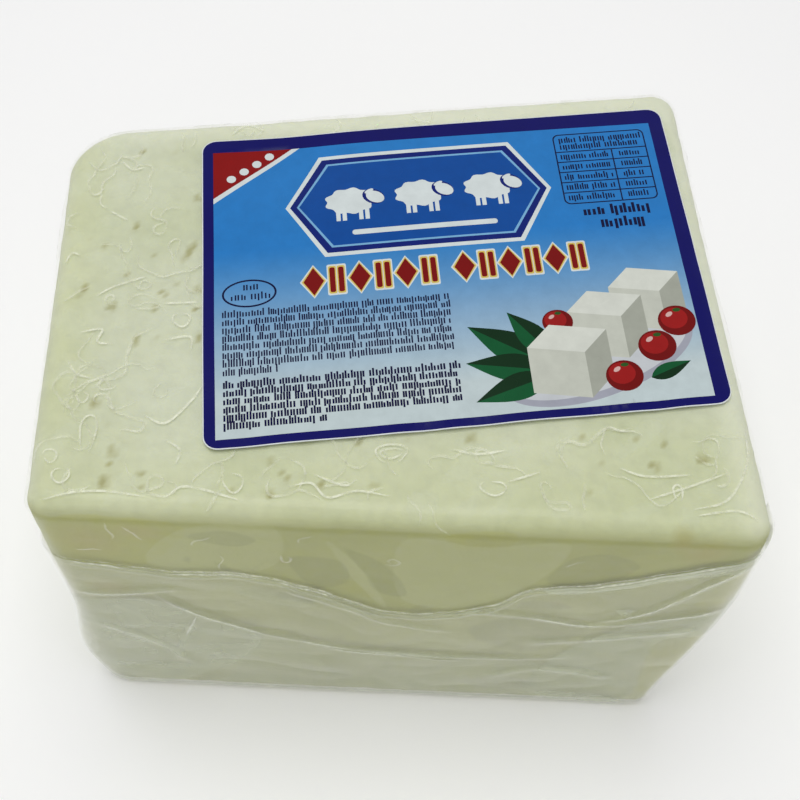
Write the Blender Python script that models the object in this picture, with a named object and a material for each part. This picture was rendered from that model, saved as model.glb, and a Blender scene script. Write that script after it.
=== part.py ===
"""Vacuum-packed block of white sheep milk cheese with a paper label on top.

The block rests on its flat underside. Its long side runs along X and its
front faces -Y. The origin is the centre of the box's underside. Metres, +Z up.
"""
import math

import bmesh
import bpy
import numpy as np
from mathutils.bvhtree import BVHTree

# Outer size of the packed block, film included.
WIDTH = 0.1133
DEPTH = 0.0864
HEIGHT = 0.0866

# The block was cut a little askew: its right end is deeper than its left end.
END_TAPER = 0.10
RIGHT_FLARE = 0.0016

# The front leans in towards its foot, and so does the right end's lower part.
FRONT_LEAN = 0.0019
RIGHT_TUCK = 0.0030
RIGHT_TUCK_HEIGHT = 0.042

# Its swells make the block lopsided, so this brings its box's middle to the origin.
SHIFT_X = 0.0004
SHIFT_Y = 0.0003

# Rounding of the upright corners, and of the edges round the top and underside.
CORNER_FRONT_LEFT = 0.0036
CORNER_FRONT_RIGHT = 0.0040
CORNER_BACK_LEFT = 0.0110
CORNER_BACK_RIGHT = 0.0050
TOP_EDGE_RADIUS = 0.0038
BOTTOM_EDGE_RADIUS = 0.0028

# Cells of the surface grid along each direction, and the dense band by the edges.
CELLS_X = 38
CELLS_Y = 28
CELLS_Z = 24
EDGE_BAND = 0.0060
EDGE_CELLS = 3

# Soft dips and swells in the top: x, y, radius, height.
TOP_FORMS = (
    (-0.0400, 0.0080, 0.0110, -0.00050),
    (-0.0180, 0.0310, 0.0100, -0.00055),
    (-0.0380, -0.0270, 0.0100, -0.00040),
    (0.0080, -0.0330, 0.0120, -0.00035),
    (0.0400, -0.0330, 0.0110, -0.00050),
    (0.0100, 0.0040, 0.0260, 0.00045),
    (-0.0300, -0.0100, 0.0120, 0.00030),
)

# Soft swells of the upright sides: side, place along it, height, spread along,
# spread in height, how far it stands out.
SIDE_FORMS = (
    ("left", -0.035, 0.017, 0.040, 0.020, 0.0042),
    ("left", -0.035, 0.062, 0.040, 0.018, 0.0008),
    ("right", -0.035, 0.060, 0.030, 0.022, 0.0020),
    ("front", 0.000, 0.040, 0.050, 0.028, 0.0008),
    ("back", 0.000, 0.042, 0.045, 0.028, 0.0008),
)

# The folded tail of the bag lies over the lower front. Its upper hem runs from the
# left corner down to the middle and up to the right corner: x and height. The tail
# reaches its full thickness TAIL_EASE hem widths below the hem.
HEM_LEFT = (-0.056, 0.0685)
HEM_LOW = (0.003, 0.0505)
HEM_RIGHT = (0.056, 0.0790)
HEM_HEIGHT = 0.0010
HEM_WIDTH = 0.0036
TAIL_THICKNESS = 0.0008
TAIL_EASE = 2.0

# The second fold of the tail, lower down, and the share of its length that each end fades in.
FOLD_LEFT = (-0.040, 0.0520)
FOLD_RIGHT = (0.030, 0.0275)
FOLD_END = 0.2
FOLD_HEIGHT = 0.0006
FOLD_WIDTH = 0.0022

# The film gathers into a small foot under the front's right end.
FOOT_X = 0.0470
FOOT_SPREAD = 0.0080
FOOT_HEIGHT = 0.0060
FOOT_REACH = 0.0018

# Paper label on the film: size, place, corner rounding and thickness. It was
# stuck on by hand, so its long and its short sides are turned a little unlike.
LABEL_WIDTH = 0.0854
LABEL_DEPTH = 0.0647
LABEL_X = 0.0120
LABEL_Y = 0.0058
LABEL_TURN_LONG = math.radians(4.5)
LABEL_TURN_SHORT = math.radians(2.7)
LABEL_CORNER = 0.0024
LABEL_THICKNESS = 0.0004
LABEL_GAP = 0.00035
LABEL_CELLS_X = 24
LABEL_CELLS_Y = 18
LABEL_EDGE_BAND = 0.0048
LABEL_EDGE_CELLS = 4

# A length of almost nothing, in metres, that keeps a division away from zero.
TINY = 1e-9


def smooth(t):
    """Eased step from 0 to 1."""
    t = np.clip(t, 0.0, 1.0)
    return t * t * (3.0 - 2.0 * t)


def mix(a, b, t):
    return a + (b - a) * t


def top_wave(x, y):
    """Height of the top's dips and swells at x, y."""
    height = np.zeros_like(x)
    for centre_x, centre_y, radius, lift in TOP_FORMS:
        distance = ((x - centre_x) ** 2 + (y - centre_y) ** 2) / radius ** 2
        height = height + lift * np.exp(-distance)
    return height


def side_swell(side, along, z):
    """How far one upright side stands out at a place along it and a height."""
    out = np.zeros_like(along)
    for name, centre, height, spread, rise, reach in SIDE_FORMS:
        if name == side:
            bell = ((along - centre) / spread) ** 2 + ((z - height) / rise) ** 2
            out = out + reach * np.exp(-bell)
    return out


def hem_line(x):
    """Height of the tail's upper hem on the front."""
    left = smooth((x - HEM_LEFT[0]) / (HEM_LOW[0] - HEM_LEFT[0]))
    right = smooth((x - HEM_LOW[0]) / (HEM_RIGHT[0] - HEM_LOW[0]))
    falling = mix(HEM_LEFT[1], HEM_LOW[1], left)
    return falling + (HEM_RIGHT[1] - HEM_LOW[1]) * right


def front_relief(x, z):
    """Hem, folded tail, second fold and foot that stand out of the front."""
    below = (hem_line(x) - z) / HEM_WIDTH
    hem = HEM_HEIGHT * np.exp(-below ** 2)
    tail = TAIL_THICKNESS * smooth(below / TAIL_EASE)
    along = np.clip((x - FOLD_LEFT[0]) / (FOLD_RIGHT[0] - FOLD_LEFT[0]), 0.0, 1.0)
    fold_z = mix(FOLD_RIGHT[1], FOLD_LEFT[1], (1.0 - along) ** 2)
    ends = smooth(along / FOLD_END) * smooth((1.0 - along) / FOLD_END)
    fold = FOLD_HEIGHT * ends * np.exp(-((z - fold_z) / FOLD_WIDTH) ** 2)
    foot = FOOT_REACH * np.exp(-((x - FOOT_X) / FOOT_SPREAD) ** 2 - (z / FOOT_HEIGHT) ** 2)
    return hem + tail + fold + foot


def edge_arc(above, inward, radius):
    """Inset, drop and tilt (0 up, 1 outward) of a place on a rounded horizontal edge.

    above is how far the place lies from the edge down the side, inward how far
    it lies from the edge over the flat. One of the two is zero.
    """
    turn = np.clip((above - inward) / radius, -1.0, 1.0)
    angle = (turn + 1.0) * math.pi / 4
    inset = np.where(inward > radius, inward, radius * (1.0 - np.sin(angle)))
    drop = np.where(above > radius, above, radius * (1.0 - np.cos(angle)))
    return inset, drop, angle


def rounded_box(box):
    """Points of a plain box moved on to the box with rounded edges, and the way out."""
    half_x, half_y = WIDTH / 2, DEPTH / 2
    x, y, z = box.T
    across = smooth(x / WIDTH + 0.5)
    deep = smooth(y / DEPTH + 0.5)
    front = mix(CORNER_FRONT_LEFT, CORNER_FRONT_RIGHT, across)
    back = mix(CORNER_BACK_LEFT, CORNER_BACK_RIGHT, across)
    inward = np.minimum(half_x - np.abs(x), half_y - np.abs(y))
    upper = z > HEIGHT / 2
    radius = np.where(upper, TOP_EDGE_RADIUS, BOTTOM_EDGE_RADIUS)
    inset, drop, angle = edge_arc(np.where(upper, HEIGHT - z, z), inward, radius)
    x = x * (half_x - inset) / (half_x - inward)
    y = y * (half_y - inset) / (half_y - inward)
    corner = np.maximum(mix(front, back, deep) - inset, TINY)
    core_x = np.clip(x, inset + corner - half_x, half_x - inset - corner)
    core_y = np.clip(y, inset + corner - half_y, half_y - inset - corner)
    past = np.stack([x - core_x, y - core_y], axis=1)
    past = past / np.maximum(np.linalg.norm(past, axis=1), TINY)[:, None]
    flat = np.stack([core_x, core_y], axis=1) + past * corner[:, None]
    height = np.where(upper, HEIGHT - drop, drop)
    rise = np.where(upper, np.cos(angle), -np.cos(angle))
    way = np.stack([past[:, 0] * np.sin(angle), past[:, 1] * np.sin(angle), rise], axis=1)
    return np.stack([flat[:, 0], flat[:, 1], height], axis=1), way


def packed_form(box):
    """Points of a plain box moved on to the surface of the packed block."""
    point, way = rounded_box(box)
    x, y, z = point.T
    out_x = side_swell("right", y, z) * np.clip(way[:, 0], 0, 1)
    out_x = out_x - side_swell("left", y, z) * np.clip(-way[:, 0], 0, 1)
    front = side_swell("front", x, z) + front_relief(x, z)
    out_y = side_swell("back", x, z) * np.clip(way[:, 1], 0, 1)
    out_y = out_y - front * np.clip(-way[:, 1], 0, 1)
    lift = top_wave(x, y) * np.clip(way[:, 2], 0, 1)
    tuck = RIGHT_TUCK * (1.0 - smooth(z / RIGHT_TUCK_HEIGHT))
    flare = (RIGHT_FLARE * (0.5 - y / DEPTH) - tuck) * (0.5 + x / WIDTH)
    lean = FRONT_LEAN * (0.5 - y / DEPTH) * (1.0 - z / HEIGHT)
    askew = 1.0 + END_TAPER * x / (WIDTH / 2)
    x = x + flare + out_x + SHIFT_X
    y = y * askew + lean + out_y + SHIFT_Y
    return np.stack([x, y, z + lift], axis=1)


def spread(length, cells, band, band_cells):
    """Grid places along one direction, from 0, denser in a band at both ends."""
    first = np.linspace(0.0, band, band_cells + 1)[:-1]
    middle = np.linspace(band, length - band, cells - 2 * band_cells + 1)
    last = length - first[::-1]
    return np.concatenate([first, middle, last])


def box_grid():
    """Places on a plain box with a grid on every side, and its quads."""
    xs = spread(WIDTH, CELLS_X, EDGE_BAND, EDGE_CELLS) - WIDTH / 2
    ys = spread(DEPTH, CELLS_Y, EDGE_BAND, EDGE_CELLS) - DEPTH / 2
    zs = spread(HEIGHT, CELLS_Z, EDGE_BAND, EDGE_CELLS)
    sizes = (len(xs), len(ys), len(zs))
    index = {}
    places = []

    def vertex(i, j, k):
        if (i, j, k) not in index:
            index[(i, j, k)] = len(places)
            places.append((xs[i], ys[j], zs[k]))
        return index[(i, j, k)]

    quads = []
    underside = []
    for axis in range(3):
        u, v = (axis + 1) % 3, (axis + 2) % 3
        for end in (0, sizes[axis] - 1):
            for a in range(sizes[u] - 1):
                for b in range(sizes[v] - 1):
                    corner = []
                    for da, db in ((0, 0), (1, 0), (1, 1), (0, 1)):
                        key = [0, 0, 0]
                        key[axis] = end
                        key[u] = a + da
                        key[v] = b + db
                        corner.append(vertex(*key))
                    if end == 0:
                        corner.reverse()
                    if axis == 2 and end == 0:
                        underside.append(len(quads))
                    quads.append(corner)
    return np.array(places), quads, underside


def principled(name, colour, roughness):
    """Plain material of one colour."""
    material = bpy.data.materials.new(name)
    material.use_nodes = True
    shader = material.node_tree.nodes["Principled BSDF"]
    shader.inputs["Base Color"].default_value = (*colour, 1.0)
    shader.inputs["Roughness"].default_value = roughness
    shader.inputs["Metallic"].default_value = 0.0
    return material


def add_object(name, mesh, material):
    """Link a mesh to the scene as a smooth-shaded object."""
    mesh.materials.append(material)
    mesh.shade_smooth()
    item = bpy.data.objects.new(name, mesh)
    bpy.context.scene.collection.objects.link(item)
    return item


def make_packed_cheese():
    """The cheese in its film: a rounded block with the film's main folds."""
    places, quads, underside = box_grid()
    mesh = bpy.data.meshes.new("packed_cheese")
    mesh.from_pydata(packed_form(places).tolist(), [], quads)
    flat_reach = max(CORNER_FRONT_LEFT, CORNER_FRONT_RIGHT, CORNER_BACK_LEFT, CORNER_BACK_RIGHT)
    work = bmesh.new()
    work.from_mesh(mesh)
    work.faces.ensure_lookup_table()
    flat = []
    for number in underside:
        face = work.faces[number]
        centre = places[quads[number]].mean(axis=0)
        inside_x = abs(centre[0]) < WIDTH / 2 - flat_reach
        inside_y = abs(centre[1]) < DEPTH / 2 - flat_reach
        if inside_x and inside_y:
            flat.append(face)
    bmesh.ops.dissolve_faces(work, faces=flat, use_verts=False)
    bmesh.ops.triangulate(work, faces=work.faces[:])
    bmesh.ops.recalc_face_normals(work, faces=work.faces[:])
    work.to_mesh(mesh)
    work.free()
    return add_object("packed_cheese", mesh, principled("film_over_cheese", (0.60, 0.62, 0.45), 0.25))


def label_outline(x, y):
    """Places on a plain rectangle pulled in to the label's rounded corners."""
    half_x, half_y = LABEL_WIDTH / 2, LABEL_DEPTH / 2
    past_x = x - np.clip(x, LABEL_CORNER - half_x, half_x - LABEL_CORNER)
    past_y = y - np.clip(y, LABEL_CORNER - half_y, half_y - LABEL_CORNER)
    length = np.maximum(np.hypot(past_x, past_y), TINY)
    squeeze = np.maximum(np.abs(past_x), np.abs(past_y)) / length
    return x - past_x * (1.0 - squeeze), y - past_y * (1.0 - squeeze)


def label_places():
    """Grid places of the label in plan, and how many lie along each direction."""
    xs = spread(LABEL_WIDTH, LABEL_CELLS_X, LABEL_EDGE_BAND, LABEL_EDGE_CELLS) - LABEL_WIDTH / 2
    ys = spread(LABEL_DEPTH, LABEL_CELLS_Y, LABEL_EDGE_BAND, LABEL_EDGE_CELLS) - LABEL_DEPTH / 2
    x, y = np.meshgrid(xs, ys, indexing="ij")
    x, y = label_outline(x.ravel(), y.ravel())
    plan_x = LABEL_X + x * math.cos(LABEL_TURN_LONG) - y * math.sin(LABEL_TURN_SHORT)
    plan_y = LABEL_Y + x * math.sin(LABEL_TURN_LONG) + y * math.cos(LABEL_TURN_SHORT)
    return plan_x, plan_y, len(xs), len(ys)


def surface_below(item, plan_x, plan_y):
    """Heights at which an object's upper surface lies under the given places."""
    mesh = item.data
    corners = [vertex.co for vertex in mesh.vertices]
    tree = BVHTree.FromPolygons(corners, [tuple(face.vertices) for face in mesh.polygons])
    clear_above = 2 * HEIGHT
    heights = []
    for x, y in zip(plan_x, plan_y):
        hit = tree.ray_cast((x, y, clear_above), (0.0, 0.0, -1.0))
        heights.append(hit[0].z)
    return np.array(heights)


def make_label(block):
    """Thin paper label that follows the waves and the rounded edge of the top."""
    x, y, across, along = label_places()
    low = surface_below(block, x, y) + LABEL_GAP
    under = np.stack([x, y, low], axis=1)
    upper = np.stack([x, y, low + LABEL_THICKNESS], axis=1)
    layer = across * along
    faces = []
    for i in range(across - 1):
        for j in range(along - 1):
            a = i * along + j
            b = a + along
            faces.append((a, b, b + 1, a + 1))
            faces.append((layer + a, layer + a + 1, layer + b + 1, layer + b))
    rim = [i * along for i in range(across)]
    rim += [(across - 1) * along + j for j in range(1, along)]
    rim += [i * along + along - 1 for i in range(across - 2, -1, -1)]
    rim += list(range(along - 2, 0, -1))
    for here, there in zip(rim, rim[1:] + rim[:1]):
        faces.append((here, layer + here, layer + there, there))
    mesh = bpy.data.meshes.new("label")
    mesh.from_pydata(np.concatenate([upper, under]).tolist(), [], faces)
    work = bmesh.new()
    work.from_mesh(mesh)
    bmesh.ops.triangulate(work, faces=work.faces[:])
    bmesh.ops.recalc_face_normals(work, faces=work.faces[:])
    work.to_mesh(mesh)
    work.free()
    return add_object("label", mesh, principled("printed_label", (0.10, 0.28, 0.58), 0.35))


def main():
    for item in list(bpy.data.objects):
        bpy.data.objects.remove(item, do_unlink=True)
    block = make_packed_cheese()
    make_label(block)


main()
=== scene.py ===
"""Looks of the vacuum-packed sheep milk cheese: curd, film, creases and printed label."""
import math

import bpy
import numpy as np
from mathutils import Matrix, Vector
from mathutils.bvhtree import BVHTree
from mathutils.geometry import delaunay_2d_cdt


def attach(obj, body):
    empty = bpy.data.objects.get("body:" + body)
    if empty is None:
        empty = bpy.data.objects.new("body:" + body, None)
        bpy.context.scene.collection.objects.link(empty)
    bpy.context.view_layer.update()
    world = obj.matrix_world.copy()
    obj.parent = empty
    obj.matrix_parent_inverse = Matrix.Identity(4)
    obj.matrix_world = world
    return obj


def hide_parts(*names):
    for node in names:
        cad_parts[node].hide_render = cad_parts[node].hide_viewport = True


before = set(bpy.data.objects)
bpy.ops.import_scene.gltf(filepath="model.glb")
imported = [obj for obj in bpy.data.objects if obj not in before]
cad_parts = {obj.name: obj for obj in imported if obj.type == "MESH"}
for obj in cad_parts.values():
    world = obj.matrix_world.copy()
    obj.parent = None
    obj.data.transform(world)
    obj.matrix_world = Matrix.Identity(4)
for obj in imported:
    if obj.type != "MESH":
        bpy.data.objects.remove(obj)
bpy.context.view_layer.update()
MM = 0.001

# The block's form: the same measures as its solid has.
WIDTH = 0.1133
DEPTH = 0.0864
HEIGHT = 0.0866
END_TAPER = 0.10
RIGHT_FLARE = 0.0016
FRONT_LEAN = 0.0019
RIGHT_TUCK = 0.0030
RIGHT_TUCK_HEIGHT = 0.042
SHIFT_X = 0.0004
SHIFT_Y = 0.0003
CORNER_FRONT_LEFT = 0.0036
CORNER_FRONT_RIGHT = 0.0040
CORNER_BACK_LEFT = 0.0110
CORNER_BACK_RIGHT = 0.0050
TOP_EDGE_RADIUS = 0.0038
BOTTOM_EDGE_RADIUS = 0.0028
TOP_FORMS = (
    (-0.0400, 0.0080, 0.0110, -0.00050),
    (-0.0180, 0.0310, 0.0100, -0.00055),
    (-0.0380, -0.0270, 0.0100, -0.00040),
    (0.0080, -0.0330, 0.0120, -0.00035),
    (0.0400, -0.0330, 0.0110, -0.00050),
    (0.0100, 0.0040, 0.0260, 0.00045),
    (-0.0300, -0.0100, 0.0120, 0.00030),
)
SIDE_FORMS = (
    ("left", -0.035, 0.017, 0.040, 0.020, 0.0042),
    ("left", -0.035, 0.062, 0.040, 0.018, 0.0008),
    ("right", -0.035, 0.060, 0.030, 0.022, 0.0020),
    ("front", 0.000, 0.040, 0.050, 0.028, 0.0008),
    ("back", 0.000, 0.042, 0.045, 0.028, 0.0008),
)
HEM_LEFT = (-0.056, 0.0685)
HEM_LOW = (0.003, 0.0505)
HEM_RIGHT = (0.056, 0.0790)
HEM_HEIGHT = 0.0010
HEM_WIDTH = 0.0036
TAIL_THICKNESS = 0.0008
TAIL_EASE = 2.0
FOLD_LEFT = (-0.040, 0.0520)
FOLD_RIGHT = (0.030, 0.0275)
FOLD_END = 0.2
FOLD_HEIGHT = 0.0006
FOLD_WIDTH = 0.0022
FOOT_X = 0.0470
FOOT_SPREAD = 0.0080
FOOT_HEIGHT = 0.0060
FOOT_REACH = 0.0018

# The label, in millimetres, and how it lies on the top.
LABEL_SIZE = (85.0, 64.3)
LABEL_PLACE = (0.0120, 0.0058)
LABEL_TURN_LONG = math.radians(4.5)
LABEL_TURN_SHORT = math.radians(2.7)
LABEL_CORNER = 2.6
LABEL_UNDER = 0.00040
LABEL_THICKNESS = 0.00014


def smooth(t):
    """Eased step from 0 to 1."""
    t = np.clip(t, 0.0, 1.0)
    return t * t * (3.0 - 2.0 * t)


def mix(a, b, t):
    return a + (b - a) * t


def top_wave(x, y):
    """Height of the top's dips and swells."""
    height = np.zeros_like(x)
    for centre_x, centre_y, radius, lift in TOP_FORMS:
        distance = ((x - centre_x) ** 2 + (y - centre_y) ** 2) / radius ** 2
        height = height + lift * np.exp(-distance)
    return height


def side_swell(side, along, z):
    """How far one upright side stands out."""
    out = np.zeros_like(along)
    for name, centre, height, spread, rise, reach in SIDE_FORMS:
        if name == side:
            bell = ((along - centre) / spread) ** 2 + ((z - height) / rise) ** 2
            out = out + reach * np.exp(-bell)
    return out


def hem_line(x):
    """Height of the tail's upper hem on the front."""
    left = smooth((x - HEM_LEFT[0]) / (HEM_LOW[0] - HEM_LEFT[0]))
    right = smooth((x - HEM_LOW[0]) / (HEM_RIGHT[0] - HEM_LOW[0]))
    return mix(HEM_LEFT[1], HEM_LOW[1], left) + (HEM_RIGHT[1] - HEM_LOW[1]) * right


def front_relief(x, z):
    """Hem, folded tail, second fold and foot of the film on the front."""
    below = (hem_line(x) - z) / HEM_WIDTH
    hem = HEM_HEIGHT * np.exp(-below ** 2)
    tail = TAIL_THICKNESS * smooth(below / TAIL_EASE)
    along = np.clip((x - FOLD_LEFT[0]) / (FOLD_RIGHT[0] - FOLD_LEFT[0]), 0.0, 1.0)
    fold_z = mix(FOLD_RIGHT[1], FOLD_LEFT[1], (1.0 - along) ** 2)
    ends = smooth(along / FOLD_END) * smooth((1.0 - along) / FOLD_END)
    fold = FOLD_HEIGHT * ends * np.exp(-((z - fold_z) / FOLD_WIDTH) ** 2)
    foot = FOOT_REACH * np.exp(-((x - FOOT_X) / FOOT_SPREAD) ** 2 - (z / FOOT_HEIGHT) ** 2)
    return hem + tail + fold + foot


def edge_arc(above, inward, radius):
    """Inset, drop and tilt of a place on a rounded horizontal edge."""
    turn = np.clip((above - inward) / radius, -1.0, 1.0)
    angle = (turn + 1.0) * math.pi / 4
    inset = np.where(inward > radius, inward, radius * (1.0 - np.sin(angle)))
    drop = np.where(above > radius, above, radius * (1.0 - np.cos(angle)))
    return inset, drop, angle


def rounded_box(box):
    """Points of a plain box moved on to the rounded box, and the way out."""
    half_x, half_y = WIDTH / 2, DEPTH / 2
    x, y, z = box.T
    across = smooth(x / WIDTH + 0.5)
    deep = smooth(y / DEPTH + 0.5)
    front = mix(CORNER_FRONT_LEFT, CORNER_FRONT_RIGHT, across)
    back = mix(CORNER_BACK_LEFT, CORNER_BACK_RIGHT, across)
    inward = np.minimum(half_x - np.abs(x), half_y - np.abs(y))
    upper = z > HEIGHT / 2
    radius = np.where(upper, TOP_EDGE_RADIUS, BOTTOM_EDGE_RADIUS)
    inset, drop, angle = edge_arc(np.where(upper, HEIGHT - z, z), inward, radius)
    x = x * (half_x - inset) / (half_x - inward)
    y = y * (half_y - inset) / (half_y - inward)
    corner = np.maximum(mix(front, back, deep) - inset, 1e-6)
    core_x = np.clip(x, inset + corner - half_x, half_x - inset - corner)
    core_y = np.clip(y, inset + corner - half_y, half_y - inset - corner)
    past = np.stack([x - core_x, y - core_y], axis=1)
    past = past / np.maximum(np.linalg.norm(past, axis=1), 1e-9)[:, None]
    flat = np.stack([core_x, core_y], axis=1) + past * corner[:, None]
    height = np.where(upper, HEIGHT - drop, drop)
    rise = np.where(upper, np.cos(angle), -np.cos(angle))
    way = np.stack([past[:, 0] * np.sin(angle), past[:, 1] * np.sin(angle), rise], axis=1)
    return np.stack([flat[:, 0], flat[:, 1], height], axis=1), way


def packed_form(box, relief=1.0):
    """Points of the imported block's surface and the way out of it."""
    point, way = rounded_box(box)
    x, y, z = point.T
    out_x = side_swell("right", y, z) * np.clip(way[:, 0], 0, 1)
    out_x = out_x - side_swell("left", y, z) * np.clip(-way[:, 0], 0, 1)
    front = side_swell("front", x, z) + relief * front_relief(x, z)
    out_y = side_swell("back", x, z) * np.clip(way[:, 1], 0, 1)
    out_y = out_y - front * np.clip(-way[:, 1], 0, 1)
    lift = top_wave(x, y) * np.clip(way[:, 2], 0, 1)
    tuck = RIGHT_TUCK * (1.0 - smooth(z / RIGHT_TUCK_HEIGHT))
    flare = (RIGHT_FLARE * (0.5 - y / DEPTH) - tuck) * (0.5 + x / WIDTH)
    lean = FRONT_LEAN * (0.5 - y / DEPTH) * (1.0 - z / HEIGHT)
    askew = 1.0 + END_TAPER * x / (WIDTH / 2)
    x = x + flare + out_x + SHIFT_X
    y = y * askew + lean + out_y + SHIFT_Y
    return np.stack([x, y, z + lift], axis=1), way


def box_grid(step):
    """Places on a plain box with an even grid on every side, and its quads."""
    size = (WIDTH, DEPTH, HEIGHT)
    lines = [np.linspace(0.0, length, round(length / step) + 1) for length in size]
    corner = np.array([-WIDTH / 2, -DEPTH / 2, 0.0])
    places, quads, first = [], [], 0
    for axis in range(3):
        u, v = (axis + 1) % 3, (axis + 2) % 3
        a, b = np.meshgrid(lines[u], lines[v], indexing="ij")
        number = np.arange(a.size).reshape(a.shape)
        quad = np.stack([number[:-1, :-1], number[1:, :-1], number[1:, 1:], number[:-1, 1:]], axis=-1)
        quad = quad.reshape(-1, 4)
        for end in (0, 1):
            side = np.zeros((a.size, 3))
            side[:, axis] = size[axis] * end
            side[:, u] = a.ravel()
            side[:, v] = b.ravel()
            places.append(side + corner)
            quads.append((quad if end else quad[:, ::-1]) + first)
            first += a.size
    places, quads = np.concatenate(places), np.concatenate(quads)
    whole = np.round(places * 1e7).astype(np.int64)
    _, keep, where = np.unique(whole, axis=0, return_index=True, return_inverse=True)
    return places[keep], where.ravel()[quads]


def random_field(point, seed, count, shortest, longest):
    """Sum of seeded plane waves, mostly between -1.5 and 1.5."""
    rng = np.random.default_rng(seed)
    total = np.zeros(len(point))
    for _ in range(count):
        way = rng.normal(size=3)
        way /= np.linalg.norm(way)
        length = rng.uniform(shortest, longest)
        total += np.sin(2 * math.pi * (point @ way) / length + rng.uniform(0, 2 * math.pi))
    return total / math.sqrt(count / 2)


def new_object(name, points, faces, smooth_shading=True):
    mesh = bpy.data.meshes.new(name)
    mesh.from_pydata([tuple(p) for p in points], [], [tuple(f) for f in faces])
    mesh.update()
    if smooth_shading:
        mesh.shade_smooth()
    item = bpy.data.objects.new(name, mesh)
    bpy.context.scene.collection.objects.link(item)
    return item


def point_values(item, name, values):
    """Store one number a vertex."""
    layer = item.data.attributes.new(name, "FLOAT", "POINT")
    layer.data.foreach_set("value", np.asarray(values, np.float32))


def tree_of(item):
    corners = [v.co for v in item.data.vertices]
    return BVHTree.FromPolygons(corners, [tuple(f.vertices) for f in item.data.polygons])


# Camera at the photograph's angle.
CAMERA_AT = (-0.00443, -0.12335, 0.25684)
CAMERA_RIGHT = Vector((0.9992, -0.03617, 0.01713))
CAMERA_DOWN = Vector((-0.02214, -0.85615, -0.51625))
CAMERA_FORWARD = Vector((0.03333, 0.51546, -0.85627))
CAMERA_LENS = 55.845
SENSOR_WIDTH = 36.0
CLIP_NEAR = 0.01
CLIP_FAR = 50.0


def make_camera():
    data = bpy.data.cameras.new("camera")
    data.lens = CAMERA_LENS
    data.sensor_width = SENSOR_WIDTH
    data.clip_start = CLIP_NEAR
    data.clip_end = CLIP_FAR
    camera = bpy.data.objects.new("camera", data)
    bpy.context.scene.collection.objects.link(camera)
    turn = Matrix((CAMERA_RIGHT, -CAMERA_DOWN, -CAMERA_FORWARD)).transposed()
    camera.matrix_world = Matrix.Translation(CAMERA_AT) @ turn.to_4x4()
    bpy.context.scene.camera = camera


make_camera()


# Materials.
class Shader:
    """Short way to build a node material."""

    def __init__(self, name):
        self.material = bpy.data.materials.new(name)
        self.material.use_nodes = True
        self.tree = self.material.node_tree
        self.tree.nodes.clear()
        self.out = self.add("ShaderNodeOutputMaterial")

    def feed(self, socket, value):
        """Link a socket to another one, or set its value."""
        if isinstance(value, bpy.types.NodeSocket):
            self.tree.links.new(value, socket)
        else:
            socket.default_value = value

    def add(self, kind, inputs=None, **settings):
        node = self.tree.nodes.new(kind)
        for key, value in settings.items():
            setattr(node, key, value)
        for key, value in (inputs or {}).items():
            self.feed(node.inputs[key], value)
        return node

    def noise(self, scale, detail=3.0, roughness=0.5, distortion=0.0):
        place = self.add("ShaderNodeTexCoord").outputs["Object"]
        settings = {"Vector": place, "Scale": scale, "Detail": detail,
                    "Roughness": roughness, "Distortion": distortion}
        return self.add("ShaderNodeTexNoise", settings).outputs["Fac"]

    def ramp(self, value, stops):
        node = self.add("ShaderNodeValToRGB", {"Fac": value})
        elements = node.color_ramp.elements
        while len(elements) < len(stops):
            elements.new(0.5)
        for element, (place, colour) in zip(elements, stops):
            element.position = place
            whole = colour if hasattr(colour, "__len__") else (colour, colour, colour)
            element.color = (*whole, 1.0)
        return node.outputs["Color"]

    def maths(self, operation, first, second, clamp=False):
        inputs = {0: first, 1: second}
        return self.add("ShaderNodeMath", inputs, operation=operation, use_clamp=clamp).outputs[0]

    def blend(self, factor, first, second, blend_type="MIX"):
        node = self.add("ShaderNodeMix", data_type="RGBA", blend_type=blend_type)
        self.feed(node.inputs[0], factor)
        for key, value in ((6, first), (7, second)):
            self.feed(node.inputs[key], (*value, 1.0) if isinstance(value, tuple) else value)
        return node.outputs[2]

    def value(self, name):
        return self.add("ShaderNodeAttribute", attribute_name=name).outputs["Fac"]

    def bump(self, height, strength, distance):
        inputs = {"Height": height, "Strength": strength, "Distance": distance}
        return self.add("ShaderNodeBump", inputs).outputs[0]

    def finish(self, shader):
        self.tree.links.new(shader, self.out.inputs["Surface"])
        return self.material


# What the studio's light does to a printed colour: it adds a sheen and scales the rest.
PRINT_SHEEN = 0.014
PRINT_GAIN = 0.94
DARKEST_INK = 0.0015


def ink(red, green, blue):
    """Printed colour that shows as the given screen colour under the studio's light."""
    return tuple(max(DARKEST_INK, (c - PRINT_SHEEN) / PRINT_GAIN) for c in linear(red, green, blue))


def linear(red, green, blue):
    """Screen colour, 0 to 255, as linear light."""
    values = []
    for c in (red, green, blue):
        c = c / 255
        values.append(c / 12.92 if c <= 0.04045 else ((c + 0.055) / 1.055) ** 2.4)
    return tuple(values)


# Curd colours on screen, from dark to light: pale on the top, and on the sides darker and yellower, which is
# painted shade.
CURD_TOP = ((203, 209, 177), (210, 215, 188), (215, 220, 198))
CURD_SHADED_SIDES = ((152, 156, 72), (160, 164, 84), (168, 172, 98))
TONE_STOPS = (0.30, 0.52, 0.75)
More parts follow.
